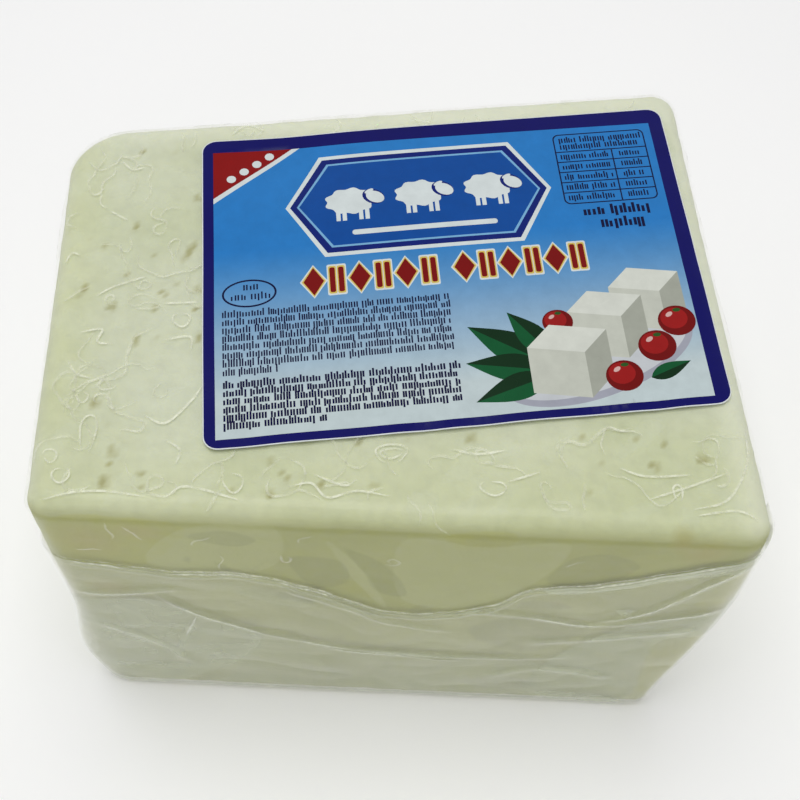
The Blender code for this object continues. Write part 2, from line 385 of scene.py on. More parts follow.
# Patches of the curd: colour on screen, how it is laid on, strength.
PATCH_TINTS = {
    "yellow": ((254, 252, 208), "MULTIPLY", 1.0), "pale": ((175, 180, 124), "MIX", 0.40),
    "damp": ((236, 236, 230), "MULTIPLY", 1.0),
}
PATCH_EDGE = (0.46, 0.55)
PATCH_RAGGED = 0.08
WARM_TINT = (252, 252, 226)
# Painted highlight: colour mixed in along the top's back and right edges and on the front's upper rounding.
PAINTED_HIGHLIGHT_TINT = (246, 248, 232)
STAIN_TINT = (166, 156, 80)
STAIN_STOPS = ((0.2, 0.0), (0.9, 0.55))
PIT_TINT = (158, 153, 88)
PIT_STOPS = ((0.0, 0.0), (0.3, 0.30), (0.75, 0.66))


def toned(shader, value, tones):
    """Colour ramp through screen colours."""
    return shader.ramp(value, [(stop, linear(*tone)) for stop, tone in zip(TONE_STOPS, tones)])


def cheese_material():
    s = Shader("sheep_curd")
    broad = s.noise(45.0, 3.0, 0.55)
    fine = s.noise(420.0, 4.0, 0.6)
    # Painted shade: the side value turns the upright sides darker and yellower.
    colour = s.blend(s.value("side"), toned(s, broad, CURD_TOP), toned(s, broad, CURD_SHADED_SIDES))
    speck = s.ramp(fine, [(0.35, 0.93), (0.60, 1.0)])
    colour = s.blend(1.0, colour, speck, "MULTIPLY")
    ragged = s.maths("MULTIPLY", s.maths("SUBTRACT", s.noise(260.0, 3.0, 0.5), 0.5), PATCH_RAGGED)
    for name, (tint, blend_type, strength) in PATCH_TINTS.items():
        stops = zip(PATCH_EDGE, (0.0, strength))
        patch = s.ramp(s.maths("ADD", s.value(name), ragged), list(stops))
        colour = s.blend(patch, colour, linear(*tint), blend_type)
    colour = s.blend(s.value("warm"), colour, linear(*WARM_TINT), "MULTIPLY")
    # Painted highlight on the edges.
    colour = s.blend(s.value("painted_highlight"), colour, linear(*PAINTED_HIGHLIGHT_TINT))
    colour = s.blend(s.ramp(s.value("stain"), STAIN_STOPS), colour, linear(*STAIN_TINT))
    colour = s.blend(s.ramp(s.value("pit"), PIT_STOPS), colour, linear(*PIT_TINT))
    grain = s.noise(900.0, 5.0, 0.6)
    normal = s.bump(grain, 0.25, 0.0003)
    rough = s.ramp(fine, [(0.3, 0.42), (0.7, 0.60)])
    shader = s.add("ShaderNodeBsdfPrincipled", {
        "Base Color": colour, "Roughness": rough, "Normal": normal,
        "Subsurface Weight": 0.25, "Subsurface Scale": 0.004,
        "Subsurface Radius": (1.0, 0.9, 0.5), "Specular IOR Level": 0.3})
    return s.finish(shader.outputs[0])


# Film: bent light, gloss, and the colour of what is clear and of what is milky.
FILM_IOR = 1.34
TAIL_IOR = 1.42
FILM_ROUGHNESS = 0.20
CREASE_ROUGHNESS = 0.16
FILM_CLEAR = (0.99, 0.99, 0.98, 1.0)
FILM_MILK = (0.64, 0.685, 0.510, 1.0)
# Pale colour of the creases: the creased film's milkiness and a painted highlight together.
CREASE_MILK_AND_HIGHLIGHT = (0.90, 0.92, 0.76, 1.0)


def outer_face(shader):
    """1 on the outer face of the film, 0 on the inner one."""
    return shader.maths("SUBTRACT", 1.0, shader.add("ShaderNodeNewGeometry").outputs["Backfacing"])


def layered_film(shader, veil, outer, milk, roughness, ior, surface):
    """Clear film with a milky veil under a gloss, which show on its outer face alone."""
    clear = shader.add("ShaderNodeBsdfTransparent", {"Color": FILM_CLEAR})
    milky = shader.add("ShaderNodeBsdfDiffuse", {"Color": milk, **surface})
    body = shader.add("ShaderNodeMixShader", {0: veil, 1: clear.outputs[0], 2: milky.outputs[0]})
    white = {"Color": (1.0, 1.0, 1.0, 1.0), "Roughness": roughness, **surface}
    gloss = shader.add("ShaderNodeBsdfGlossy", white)
    fresnel = shader.add("ShaderNodeFresnel", {"IOR": ior, **surface}).outputs[0]
    shine = shader.maths("MULTIPLY", fresnel, outer)
    whole = shader.add("ShaderNodeMixShader", {0: shine, 1: body.outputs[0], 2: gloss.outputs[0]})
    return shader.finish(whole.outputs[0])


def film_material(name, ior):
    s = Shader(name)
    patch = s.ramp(s.noise(90.0, 3.0, 0.5, 1.0), [(0.35, 0.75), (0.65, 1.10)])
    outer = outer_face(s)
    veil = s.maths("MULTIPLY", s.maths("MULTIPLY", s.value("haze"), patch, clamp=True), outer)
    ripple = {"Normal": s.bump(s.noise(260.0, 2.0, 0.4), 0.10, 0.0003)}
    return layered_film(s, veil, outer, FILM_MILK, FILM_ROUGHNESS, ior, ripple)


def crease_material():
    s = Shader("film_crease")
    # The creases' pale veil is partly painted highlight, standing in for light caught by the film's wrinkles.
    outer = outer_face(s)
    thin = s.ramp(s.noise(700.0, 3.0, 0.6), [(0.35, 0.20), (0.65, 0.75)])
    veil = s.maths("MULTIPLY", thin, s.maths("MULTIPLY", s.value("strength"), outer))
    return layered_film(s, veil, outer, CREASE_MILK_AND_HIGHLIGHT, CREASE_ROUGHNESS, TAIL_IOR, {})


def print_material():
    s = Shader("printed_paper")
    ink = s.add("ShaderNodeVertexColor", layer_name="ink").outputs["Color"]
    mottle = s.ramp(s.noise(350.0, 4.0, 0.6), [(0.3, 0.93), (0.7, 1.04)])
    colour = s.blend(1.0, ink, mottle, "MULTIPLY")
    fibre = s.noise(1500.0, 4.0, 0.6)
    normal = s.bump(fibre, 0.10, 0.0001)
    rough = s.ramp(s.noise(60.0, 3.0, 0.5), [(0.3, 0.20), (0.7, 0.30)])
    shader = s.add("ShaderNodeBsdfPrincipled", {"Base Color": colour, "Roughness": rough, "Normal": normal,
                                                "Specular IOR Level": 0.30})
    return s.finish(shader.outputs[0])


# Outlines on the front, x and z in mm: where the curd is damp, yellower or paler under the film.
FRONT_PATCHES = {
    "damp": (
        ((26, 66), (29, 76), (35, 78), (40, 73), (33, 64)),
        ((3, 49), (5, 54), (8, 52), (6, 48)),
        ((22, 54), (25, 58), (32, 55)),
        ((-32, 78), (-26, 81), (-21, 78), (-25, 75)),
        ((-7, 76), (0, 69), (3, 58), (-2, 59), (-4, 66)),
        ((-16, 72), (-8, 71), (-7, 63), (-12, 59), (-15, 64)),
        ((-34, 69), (-32, 71), (-33, 67)),
        ((-24, 64), (-19, 72), (-22, 66)),
        ((-29, 69), (-26, 66), (-27, 64)),
        ((-20, 55), (-16, 57), (-13, 52)),
        ((15, 44), (26, 51), (36, 46), (28, 32), (18, 36)),
        ((15, 10), (23, 15), (31, 10), (23, 6)),
    ),
    "yellow": (
        ((9, 83), (19, 84), (18, 79), (11, 78)),
        ((-53, 82), (-43, 84), (-32, 81), (-41, 66), (-53, 67)),
        ((-9, 60), (-7, 64), (-2, 56)),
        ((-52, 58), (-44, 59), (-46, 53), (-52, 53)),
        ((51, 54), (57, 72), (58, 58)),
        ((52, 8), (49, 30), (58, 43), (55, 9)),
    ),
    "pale": (
        ((-10, 79), (-4, 67), (0, 50), (-6, 64)),
        ((-40, 68), (-32, 81), (-18, 83), (-19, 68), (-31, 63)),
        ((2, 80), (15, 79), (28, 81), (23, 63), (12, 53), (2, 57)),
    ),
}
OUTLINE_STEP = 0.8
PATCH_FADE = 5.0
# Stains on the front: x, z, half width, half height in mm, turn in degrees.
STAINS = (
    (45, 83, 1.5, 3, 10), (-48, 75, 4.5, 5, 0), (-48, 55, 3, 2.5, 0), (-40, 79, 3.5, 2.5, 0),
    (49, 80, 3, 3.5, -20),
)


def curve_through(points, step, closed=False):
    """Points of a smooth curve through the given ones, a step apart."""
    p = np.array(points, float)
    if closed:
        p = np.concatenate([p[-1:], p, p[:2]])
    else:
        p = np.concatenate([[2 * p[0] - p[1]], p, [2 * p[-1] - p[-2]]])
    found = []
    for i in range(1, len(p) - 2):
        count = max(1, int(np.linalg.norm(p[i + 1] - p[i]) / step))
        for k in range(count):
            t = k / count
            found.append(0.5 * (2 * p[i] + (p[i + 1] - p[i - 1]) * t
                                + (2 * p[i - 1] - 5 * p[i] + 4 * p[i + 1] - p[i + 2]) * t ** 2
                                + (3 * p[i] - p[i - 1] - 3 * p[i + 1] + p[i + 2]) * t ** 3))
    if not closed:
        found.append(p[-2])
    return np.array(found)


def inside(x, z, outline):
    """How deep each place lies inside a smooth closed outline, in mm; below 0 outside it."""
    line = curve_through(outline, OUTLINE_STEP, closed=True)
    nearest = np.full(len(x), np.inf)
    within = np.zeros(len(x), bool)
    for (ax, az), (bx, bz) in zip(line, np.roll(line, -1, axis=0)):
        run, rise = bx - ax, bz - az
        t = np.clip(((x - ax) * run + (z - az) * rise) / max(run * run + rise * rise, 1e-12), 0.0, 1.0)
        nearest = np.minimum(nearest, np.hypot(x - ax - t * run, z - az - t * rise))
        spans = (az > z) != (bz > z)
        within ^= spans & (x < ax + (z - az) * run / (rise or 1.0))
    return np.where(within, nearest, -nearest)


def front_patches(point, way, outlines):
    """0.5 on the outline of each patch on the front, more inside it and less outside."""
    front = np.nonzero(way[:, 1] < -0.2)[0]
    x, z = point[front, 0] / MM, point[front, 2] / MM
    depth = np.full(len(front), -PATCH_FADE)
    for outline in outlines:
        depth = np.maximum(depth, inside(x, z, outline))
    found = np.zeros(len(point))
    found[front] = np.clip(0.5 + depth / PATCH_FADE, 0.0, 1.0)
    return found


def front_blobs(point, way, blobs):
    """1 in the middle of each patch on the front, 0.5 on its outline, 0 away from it."""
    x, z = point[:, 0] / MM, point[:, 2] / MM
    found = np.zeros(len(point))
    for centre_x, centre_z, half_x, half_z, turn in blobs:
        c, s = math.cos(math.radians(turn)), math.sin(math.radians(turn))
        a = ((x - centre_x) * c + (z - centre_z) * s) / half_x
        b = (-(x - centre_x) * s + (z - centre_z) * c) / half_z
        found = np.maximum(found, np.clip(1.0 - 0.5 * np.hypot(a, b), 0.0, 1.0))
    return found * np.clip(-1.5 * way[:, 1], 0.0, 1.0)


# The curd.
CURD_STEP = 0.00085
CURD_INSET = 0.00030
CURD_UNEVEN = 0.00005
# Where the painted side shade starts, as the upward part of the way out: front left and right, hidden sides.
FRONT_SHADE_START = (0.88, 1.0)
HIDDEN_SHADE_START = 0.62
HIDDEN_SHADE_FADE = 0.54
# How much of the painted side shade the hidden sides get.
HIDDEN_SIDE_SHADE = 0.36
# Most that each kind of random patch shows on the hidden sides.
HIDDEN_PATCHES = {"damp": 0.500, "yellow": 0.475, "pale": 0.505}

# The larger pits of the top: x, y, half width, half depth in mm, turn in degrees.
TOP_PITS = (
    (-33, 10.5, 0.7, 1.8, -25), (-32, 22, 0.5, 0.7, 0), (-42.5, 16, 0.5, 0.8, 0), (-50.5, 2.5, 0.4, 1.5, -25),
    (-45.5, -1, 0.8, 0.9, 30), (-37, 1.5, 0.6, 0.8, 20), (-31, 2, 0.6, 0.8, 0), (-38.5, -2, 0.4, 0.8, -20),
    (-30.5, -8, 0.4, 1.0, 0), (-41, -8, 0.4, 1.1, 0), (-46.5, -20, 0.6, 0.8, 0), (-43, -28.5, 0.6, 0.9, 40),
    (-44, -34, 0.9, 0.9, 0), (-38.5, -33, 0.5, 0.5, 20), (-18, -31, 0.4, 1.0, 0), (-16, -34, 0.5, 1.0, 30),
    (-18.5, -37, 0.6, 0.8, 0), (-4.5, -28.5, 0.5, 0.5, 0), (-10.5, -35.5, 0.6, 0.6, 0),
    (13, -28, 0.6, 1.1, 0), (41.5, -33.5, 0.7, 0.8, 0), (49.5, -32.5, 0.9, 0.8, 0), (44, -29.5, 0.5, 0.6, 0),
)
# Where the small pits of the top lie at random: lowest and highest place in mm, number.
TOP_SMALL_PITS = (((-53, -37), (-30, 34), 17), ((-28, -39), (53, -28), 12))
SMALL_PIT = (0.18, 0.45)
# Random pits on the other sides: axis, end of it, number.
SIDE_PITS = ((0, -1, 60), (0, 1, 60), (1, -1, 26), (1, 1, 70), (2, -1, 40))
SIDE_PIT = (0.22, 0.75)
SIDE_PIT_SKEW = 1.3
SIDE_REACH = 0.44
PIT_DEPTH = 0.55


def curd_points(places):
    """Surface of the curd, just inside the film and without the film's folds."""
    point, way = packed_form(places, relief=0.0)
    return point - way * CURD_INSET, way


def pit_list():
    """Every pit: centre, axis and end of it, half sizes, turn."""
    pits = []
    rng = np.random.default_rng(21)
    small = np.random.default_rng(22)
    top_pits = list(TOP_PITS)
    for least, most, number in TOP_SMALL_PITS:
        for _ in range(number):
            top_pits.append((*small.uniform(least, most), *small.uniform(*SMALL_PIT, 2), 0))
    for x, y, half_u, half_v, turn in top_pits:
        z = HEIGHT - CURD_INSET + float(top_wave(np.array([x * MM]), np.array([y * MM]))[0])
        pits.append(((x * MM, y * MM, z), 2, 1, half_u * MM, half_v * MM, math.radians(turn)))
    for axis, sign, count in SIDE_PITS:
        for _ in range(count):
            a, b = rng.uniform(-SIDE_REACH, SIDE_REACH, 2)
            place = ((sign / 2, a, b), (a, sign / 2, b), (a, b, sign / 2))[axis]
            box = (np.array([place]) + (0.0, 0.0, 0.5)) * (WIDTH, DEPTH, HEIGHT)
            centre = curd_points(box)[0][0]
            size = rng.uniform(*SIDE_PIT) ** SIDE_PIT_SKEW
            half_u, half_v = size * MM * rng.uniform(0.7, 1.3, 2)
            pits.append((tuple(centre), axis, sign, half_u, half_v, rng.uniform(0, math.pi)))
    return pits


def refine(places, quads, centres, radii):
    """Split each quad near a pit into 16, leaving no gaps along the seams."""
    middle = places[quads].mean(axis=1)
    near = np.zeros(len(quads), bool)
    for centre, radius in zip(centres, radii):
        near |= np.linalg.norm(middle - centre, axis=1) < radius
    cuts = 4
    points = [p for p in places]
    number = {}

    def on_edge(a, b, part):
        if part == 0:
            return a
        if part == cuts:
            return b
        if a > b:
            a, b, part = b, a, cuts - part
        key = (a, b, part)
        if key not in number:
            number[key] = len(points)
            points.append(places[a] + (places[b] - places[a]) * part / cuts)
        return number[key]

    near_edges = set()
    for quad in quads[near]:
        for k in range(4):
            near_edges.add(tuple(sorted((quad[k], quad[(k + 1) % 4]))))
    faces = []
    for quad, split in zip(quads.tolist(), near):
        if split:
            a, b, c, d = quad
            table = []
            for i in range(cuts + 1):
                row = []
                for j in range(cuts + 1):
                    if i == 0:
                        row.append(on_edge(a, d, j))
                    elif i == cuts:
                        row.append(on_edge(b, c, j))
                    elif j == 0:
                        row.append(on_edge(a, b, i))
                    elif j == cuts:
                        row.append(on_edge(d, c, i))
                    else:
                        u, v = i / cuts, j / cuts
                        row.append(len(points))
                        low = places[a] + (places[b] - places[a]) * u
                        high = places[d] + (places[c] - places[d]) * u
                        points.append(low + (high - low) * v)
                table.append(row)
            for i in range(cuts):
                for j in range(cuts):
                    faces.append((table[i][j], table[i + 1][j], table[i + 1][j + 1], table[i][j + 1]))
            continue
        ring = []
        for k in range(4):
            a, b = quad[k], quad[(k + 1) % 4]
            if tuple(sorted((a, b))) in near_edges:
                ring += [on_edge(a, b, part) for part in range(cuts)]
            else:
                ring.append(a)
        if len(ring) == 4:
            faces.append(tuple(ring))
        else:
            hub = len(points)
            points.append(places[quad].mean(axis=0))
            for here, there in zip(ring, ring[1:] + ring[:1]):
                faces.append((here, there, hub))
    return np.array(points), faces


def sink_pits(point, pits, radii):
    """How deep each place is sunk, and how much of a pit it shows."""
    sunk, pitted = np.zeros(len(point)), np.zeros(len(point))
    rng = np.random.default_rng(5)
    for (centre, axis, _, half_u, half_v, turn), reach in zip(pits, radii):
        near = np.nonzero(np.linalg.norm(point - centre, axis=1) < reach * 1.3)[0]
        offset = point[near] - centre
        u, v = offset[:, (axis + 1) % 3], offset[:, (axis + 2) % 3]
        a = (u * math.cos(turn) + v * math.sin(turn)) / half_u
        b = (-u * math.sin(turn) + v * math.cos(turn)) / half_v
        angle = np.arctan2(b, a)
        first, second = rng.uniform(0, 2 * math.pi, 2)
        edge = 1.0 + 0.22 * np.sin(2 * angle + first) + 0.13 * np.sin(3 * angle + second)
        bowl = np.clip(1.0 - (np.hypot(a, b) / (1.25 * edge)) ** 2, 0.0, 1.0)
        sunk[near] = np.maximum(sunk[near], min(half_u, half_v) * PIT_DEPTH * bowl ** 1.5)
        pitted[near] = np.maximum(pitted[near], bowl)
    return sunk, pitted


def tone_curd(item, point, way):
    """Store where the curd gets painted side shade or painted highlight, and where it is patched, warm or
    stained.
    """
    upright = np.maximum(np.hypot(way[:, 0], way[:, 1]), 1e-6)
    facing = smooth(-1.4 * way[:, 1] / upright)
    right = smooth(0.5 + point[:, 0] / WIDTH)
    # Painted shade: the upright sides get the darker, yellower side colour, and the hidden ones only part of
    # it.
    start = mix(HIDDEN_SHADE_START, mix(*FRONT_SHADE_START, right), facing)
    side = smooth((start - way[:, 2]) / mix(HIDDEN_SHADE_FADE, start, facing))
    point_values(item, "side", side * mix(HIDDEN_SIDE_SHADE, 1.0, facing))
    hidden = (1.0 - facing) * smooth((0.6 - np.abs(way[:, 2])) / 0.3)
    for seed, (name, most) in enumerate(HIDDEN_PATCHES.items(), 41):
        random_patch = 0.5 + 0.16 * (random_field(point, seed, 30, 0.014, 0.034) - 0.9)
        hidden_patch = hidden * np.clip(random_patch, 0.0, most)
        point_values(item, name, front_patches(point, way, FRONT_PATCHES[name]) + hidden_patch)
    front = np.clip(-way[:, 1], 0.0, 1.0)
    up = np.clip(way[:, 2], 0.0, 1.0)
    under_edge = front * smooth((point[:, 2] - 0.058) / 0.022)
    front_strip = up * smooth((-0.016 - point[:, 1]) / 0.022)
    left_strip = up * smooth((-0.044 - point[:, 0]) / 0.010)
    point_values(item, "warm", np.maximum(0.30 * under_edge + 0.45 * front_strip, 0.55 * left_strip))
    # Painted highlight: lighter top along the back and right edges, and a lighter band on the front's upper
    # rounding.
    back_highlight = smooth((point[:, 1] - 0.033) / 0.007)
    right_highlight = smooth((point[:, 0] - 0.051) / 0.006)
    painted_edge_highlight = 0.15 * front * np.exp(-((way[:, 2] - 0.30) / 0.22) ** 2)
    point_values(item, "painted_highlight", np.maximum(0.40 * up * np.maximum(back_highlight, right_highlight), painted_edge_highlight))
    point_values(item, "stain", front_blobs(point, way, STAINS))


def make_curd():
    places, quads = box_grid(CURD_STEP)
    pits = pit_list()
    plain = curd_points(places)[0]
    radii = [max(half_u, half_v) * 1.5 + CURD_STEP for _, _, _, half_u, half_v, _ in pits]
    # Find the quads near pits on the finished form, but split them on the plain box.
    middle = plain[quads].mean(axis=1)
    box_middle = places[quads].mean(axis=1)
    box_centres = [box_middle[np.argmin(np.linalg.norm(middle - pit[0], axis=1))] for pit in pits]
    places, faces = refine(places, quads, box_centres, radii)
    point, way = curd_points(places)
    sunk, pitted = sink_pits(point, pits, radii)
    uneven = CURD_UNEVEN * random_field(point, 3, 40, 0.003, 0.012)
    point = point - way * (sunk + np.abs(uneven))[:, None]
    item = new_object("curd", point, faces)
    point_values(item, "pit", pitted)
    tone_curd(item, point, way)
    item.data.materials.append(cheese_material())
    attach(item, "root")
    return item


# The film.
FILM_STEP = 0.00075
FILM_LIFT = 0.00012


def film_waves(point, way):
    """How far the film's small waves stand out."""
    up = np.clip(way[:, 2], 0.0, 1.0)
    front = np.clip(-way[:, 1], 0.0, 1.0)
    broad = random_field(point, 11, 40, 0.009, 0.026)
    stretched = point * np.array([0.45, 0.45, 1.0])
    ridge = np.exp(-(random_field(stretched, 12, 40, 0.010, 0.024) / 0.14) ** 2)
    ridge = ridge * smooth(random_field(point, 13, 30, 0.012, 0.030) + 0.5)
    amount = mix(mix(0.00012, 0.00004, front), 0.00004, up)
    sharp = mix(0.00030, 0.0, up) * (1.0 - 0.93 * front)
    return FILM_LIFT + amount * (0.6 + 0.4 * broad) + sharp * ridge, ridge * (1.0 - front) * (1.0 - up)


def make_film():
    places, quads = box_grid(FILM_STEP)
    point, way = packed_form(places, relief=0.0)
    lift, ridge = film_waves(point, way)
    waved = point + way * lift[:, None]
    waved[:, 2] = np.maximum(waved[:, 2], 0.0)
    item = new_object("film", waved, quads.tolist())
    haze = 0.05 + 0.05 * np.clip(random_field(point, 8, 30, 0.006, 0.03), 0.0, 1.0)
    haze = haze + 0.22 * np.clip(way[:, 2], 0.0, 1.0) * smooth(random_field(point, 9, 40, 0.004, 0.012) - 0.3)
    haze = haze + (0.06 + 0.30 * ridge) * smooth((0.35 - way[:, 2]) / 0.35) * smooth(1.0 + way[:, 1])
    haze = haze * (1.0 - 0.75 * np.clip(-way[:, 1], 0.0, 1.0))
    point_values(item, "haze", haze)
    item.data.materials.append(film_material("clear_film", FILM_IOR))
    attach(item, "root")
    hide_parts("packed_cheese")
    return item


def top_tree():
    """The smooth top that the label lies on."""
    places, quads = box_grid(0.0011)
    point, _ = packed_form(places)
    return BVHTree.FromPolygons([tuple(p) for p in point], quads.tolist())


# The folded tail of the bag.
TAIL_STEP = 0.00042
TAIL_WRAP = 0.0075
TAIL_SKIN = 0.00004
TAIL_RELIEF = 0.08
TAIL_HEM = 0.00014
TAIL_GAP = 0.00025
TAIL_FOOT = 0.0002
TAIL_ROWS_REACH = 0.066
FOLD_STEP = 0.5
TAIL_EDGE = (
    (-63, 70), (-48, 67), (-36, 64.5), (-25, 65), (-13, 60), (-1, 51.5), (9, 51.5), (18, 56), (24, 63.5),
    (34, 66.5), (46, 73), (63, 83),
)
# Folds of the tail: points x, z in mm, height in mm, width in mm below and above the line.
TAIL_FOLDS = {
    "upper_left": (((-59, 53.5), (-48, 54), (-35.5, 57.5)), 0.28, 0.5, 1.6),
    "long": (((-43, 59.5), (-34, 46.5), (-16, 35), (3, 30), (26, 29.5), (37, 32)), 0.40, 0.8, 1.4),
    "under_hem": (((-19.5, 60.5), (-7, 52.5), (0, 46.5), (12.5, 43)), 0.30, 0.7, 1.5),
    "drop": (((-34.5, 44.5), (-38, 33), (-41, 18.5)), 0.25, 0.7, 0.7),
    "middle": (((8.5, 54), (23, 52.5), (36, 49), (48, 53.5), (59.5, 59)), 0.40, 0.9, 1.1),
    "rise": (((35, 49.5), (45, 57), (53, 70.5), (61, 81)), 0.34, 0.8, 0.8),
    "right": (((23.5, 38), (39, 42.5), (56.5, 49)), 0.30, 1.4, 1.4),
    "low_middle": (((-12.5, 31), (15.5, 26.5)), 0.25, 0.5, 0.5),
    "low_left": (((-55, 39.5), (-44, 30), (-37.5, 16)), 0.22, 1.2, 1.2),
    "low_right": (((19.5, 17), (31, 23.5), (46.5, 19)), 0.25, 1.6, 1.6),
}
# Milky places of the tail: outline x, z in mm, haze, width of the outline's fade in mm.
TAIL_CLOUDS = (
    (((-55, 50), (-41, 52), (-33, 44), (-23, 37), (-27, 22), (-38, 8), (-55, 0), (-66, 12), (-66, 49)),
     0.42, 2.0),
    (((-23, 37), (-9, 32), (30, 27), (32, 2), (-18, -3), (-39, 3), (-34, 21)), 0.26, 3.0),
    (((31, 6), (30, 24), (38, 44), (53, 55), (62, 60), (62, 46), (49, 40), (52, 4)), 0.36, 2.0),
    (((26, 64), (38, 69), (52, 78), (62, 83), (62, 77), (48, 71), (32, 63)), 0.46, 0.8),
    (((-26, 57), (-21, 58), (-12, 53), (-18, 52)), 0.20, 0.8),
    (((39, 56), (42, 57), (41, 54)), 0.40, 0.8),
    (((32, 8), (42, 0), (53, 2), (45, 8)), 0.50, 1.5),
    (((-55, 65), (-35, 62), (-22, 61), (2, 48), (-18, 55), (-44, 60)), 0.13, 2.4),
)


def tail_top(x):
    """Height in mm of the tail's slightly wavy upper edge."""
    line = curve_through(TAIL_EDGE, 1.0)
    waves = 0.15 * np.sin(0.9 * x) + 0.05 * np.sin(2.3 * x + 1.0)
    return np.interp(x, line[:, 0], line[:, 1]) + waves


def fold_relief(x, z):
    """How far the folds of the tail stand out."""
    out = np.zeros_like(x)
    for points, height, below, above in TAIL_FOLDS.values():
        line = curve_through(points, FOLD_STEP)
        nearest = np.full(len(x), np.inf)
        side = np.zeros(len(x))
        share = np.zeros(len(x))
        for index, (cx, cz) in enumerate(line):
            distance = np.hypot(x - cx, z - cz)
            closer = distance < nearest
            nearest = np.where(closer, distance, nearest)
            side = np.where(closer, z - cz, side)
            share = np.where(closer, index / len(line), share)
        width = np.where(side > 0, above, below)
        ends = smooth(share * 6.0) * smooth((1.0 - share) * 6.0)
        out = out + height * ends * np.exp(-(nearest / width) ** 2)
    return out


def flared(across):
    """Where a place across the plain front lands on the finished front."""
    return across + RIGHT_FLARE * (0.5 + across / WIDTH) + SHIFT_X


def make_tail():
    """Second ply of film over the lower front, with its folds."""
    half = WIDTH / 2
    reach = half + TAIL_WRAP
    across = np.linspace(-reach, reach, int(2 * reach / TAIL_STEP) + 1)
    rows = int(TAIL_ROWS_REACH / TAIL_STEP)
    edge = tail_top(flared(across) / MM) * MM
    share = np.linspace(0.0, 1.0, rows)
    s, t = np.meshgrid(across, share, indexing="ij")
    z = edge[:, None] * (1.0 - t) + TAIL_FOOT * t
    s, z = s.ravel(), z.ravel()
    box = np.stack([np.clip(s, -half, half), -DEPTH / 2 + np.maximum(np.abs(s) - half, 0.0), z], axis=1)
    relief = TAIL_RELIEF * smooth((half - np.abs(s)) / 0.008)
    point, way = packed_form(box, relief=relief)
    x_mm, z_mm = flared(s) / MM, z / MM
    under = tail_top(x_mm) - z_mm
    folds = fold_relief(x_mm, z_mm) * MM
    ripple = 0.00010 * random_field(point * np.array([0.5, 0.5, 1.0]), 31, 40, 0.006, 0.018)
    hem = TAIL_HEM * (np.exp(-(under / 0.5) ** 2) + 0.7 * np.exp(-((under - 1.6) / 0.4) ** 2))
    corner = mix(0.05, 1.0, smooth((half - 0.0005 - np.abs(s)) / 0.006))
    corner = corner * mix(0.15, 1.0, smooth((z - 0.0005) / 0.0035))
    folds = folds * corner
    hem = hem * corner
    ends = smooth((reach - np.abs(s)) / 0.004) * smooth(under / 1.0 + 0.1)
    outward = mix(0.00020, TAIL_GAP, corner) + ends * (np.abs(ripple) * corner + folds + hem)
    outer = point + way * outward[:, None]
    outer[:, 2] = np.maximum(outer[:, 2], 0.0001 + TAIL_SKIN)
    inner = outer - way * TAIL_SKIN
    count = len(outer)
    number = np.arange(count).reshape(len(across), rows)
    quads = np.stack([number[:-1, :-1], number[:-1, 1:], number[1:, 1:], number[1:, :-1]], axis=-1)
    quads = quads.reshape(-1, 4)
    rim = np.concatenate([number[:, 0], number[-1, 1:], number[-2::-1, -1], number[0, -2:0:-1]])
    after = np.roll(rim, -1)
    walls = np.stack([rim, after, after + count, rim + count], axis=-1)
    faces = quads.tolist() + (quads[:, ::-1] + count).tolist() + walls.tolist()
    item = new_object("film_tail", np.concatenate([outer, inner]), faces)
    haze = np.full(count, 0.07)
    for outline, strength, fade in TAIL_CLOUDS:
        haze = np.maximum(haze, strength * smooth(0.5 + inside(x_mm, z_mm, outline) / fade))
    haze = haze + 0.30 * np.clip(folds / 0.0005, 0.0, 1.0) + 0.45 * hem / TAIL_HEM
    haze = haze * mix(0.5, 1.0, smooth(z / 0.003))
    point_values(item, "haze", np.tile(np.clip(haze, 0.0, 0.9), 2))
    item.data.materials.append(film_material("tail_film", TAIL_IOR))
    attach(item, "root")
    return item


# Creases of the film, pale lines that are partly painted highlight: points x, y in mm on the top.
TOP_CREASES = (
    ((-46, 30.5), (-44, 28.5), (-42, 29)), ((-47, 19), (-44, 17)), ((-48, 1), (-45, 3), (-40, 5)),
    ((-36.5, -1), (-31, -1)), ((-54, 8), (-53, 10), (-51.5, 9.5)),
    ((-50, -6.5), (-46.5, -6), (-47, -8.5), (-44.5, -9)), ((-51.5, -12), (-50, -14.5), (-47.5, -15.5)),
    ((-38.5, -22.5), (-35, -24), (-31, -20), (-29.5, -17.5)), ((-36, -8.5), (-32, -8), (-31.5, -10.5)),
    ((-35, -27), (-32.5, -29), (-33, -31.5)), ((-53, -37), (-48, -36), (-43, -36), (-37.5, -37)),
    ((-34, -37), (-31, -35.5), (-23, -38)), ((-15.5, -36), (-12, -35.5), (-9.5, -38), (-5, -37), (0, -38)),
    ((-11.5, -34), (-7, -36), (-5, -35)), ((10, -30), (14, -31), (18.5, -30.5)), ((18.5, -36), (23.5, -34.5)),
    ((36, -34), (40, -35.5), (47, -35.5)), ((40, -39.5), (46.5, -37.5), (52.5, -35.5)),
    ((46.5, -41.5), (52, -40), (56, -34), (57, -28)), ((47, -42.5), (53, -42), (56, -43.5)),
)
# Closed loops on the top, pale crease lines that are partly painted highlight: x, y, half width, half depth.
TOP_LOOPS = (
    (-47, -25.5, 1.4, 3.0), (-52.5, -29.5, 1.1, 1.1), (-50.5, -33, 1.2, 1.4), (-33.5, -4.5, 1.3, 1.5),
    (-48.5, -19, 0.8, 1.0), (-24, -35, 1.4, 1.8), (0.5, -30.5, 2.7, 1.5), (0.5, -30.5, 1.6, 0.9),
    (16, -37, 1.8, 1.3), (44.5, -38.5, 0.8, 1.3),
)
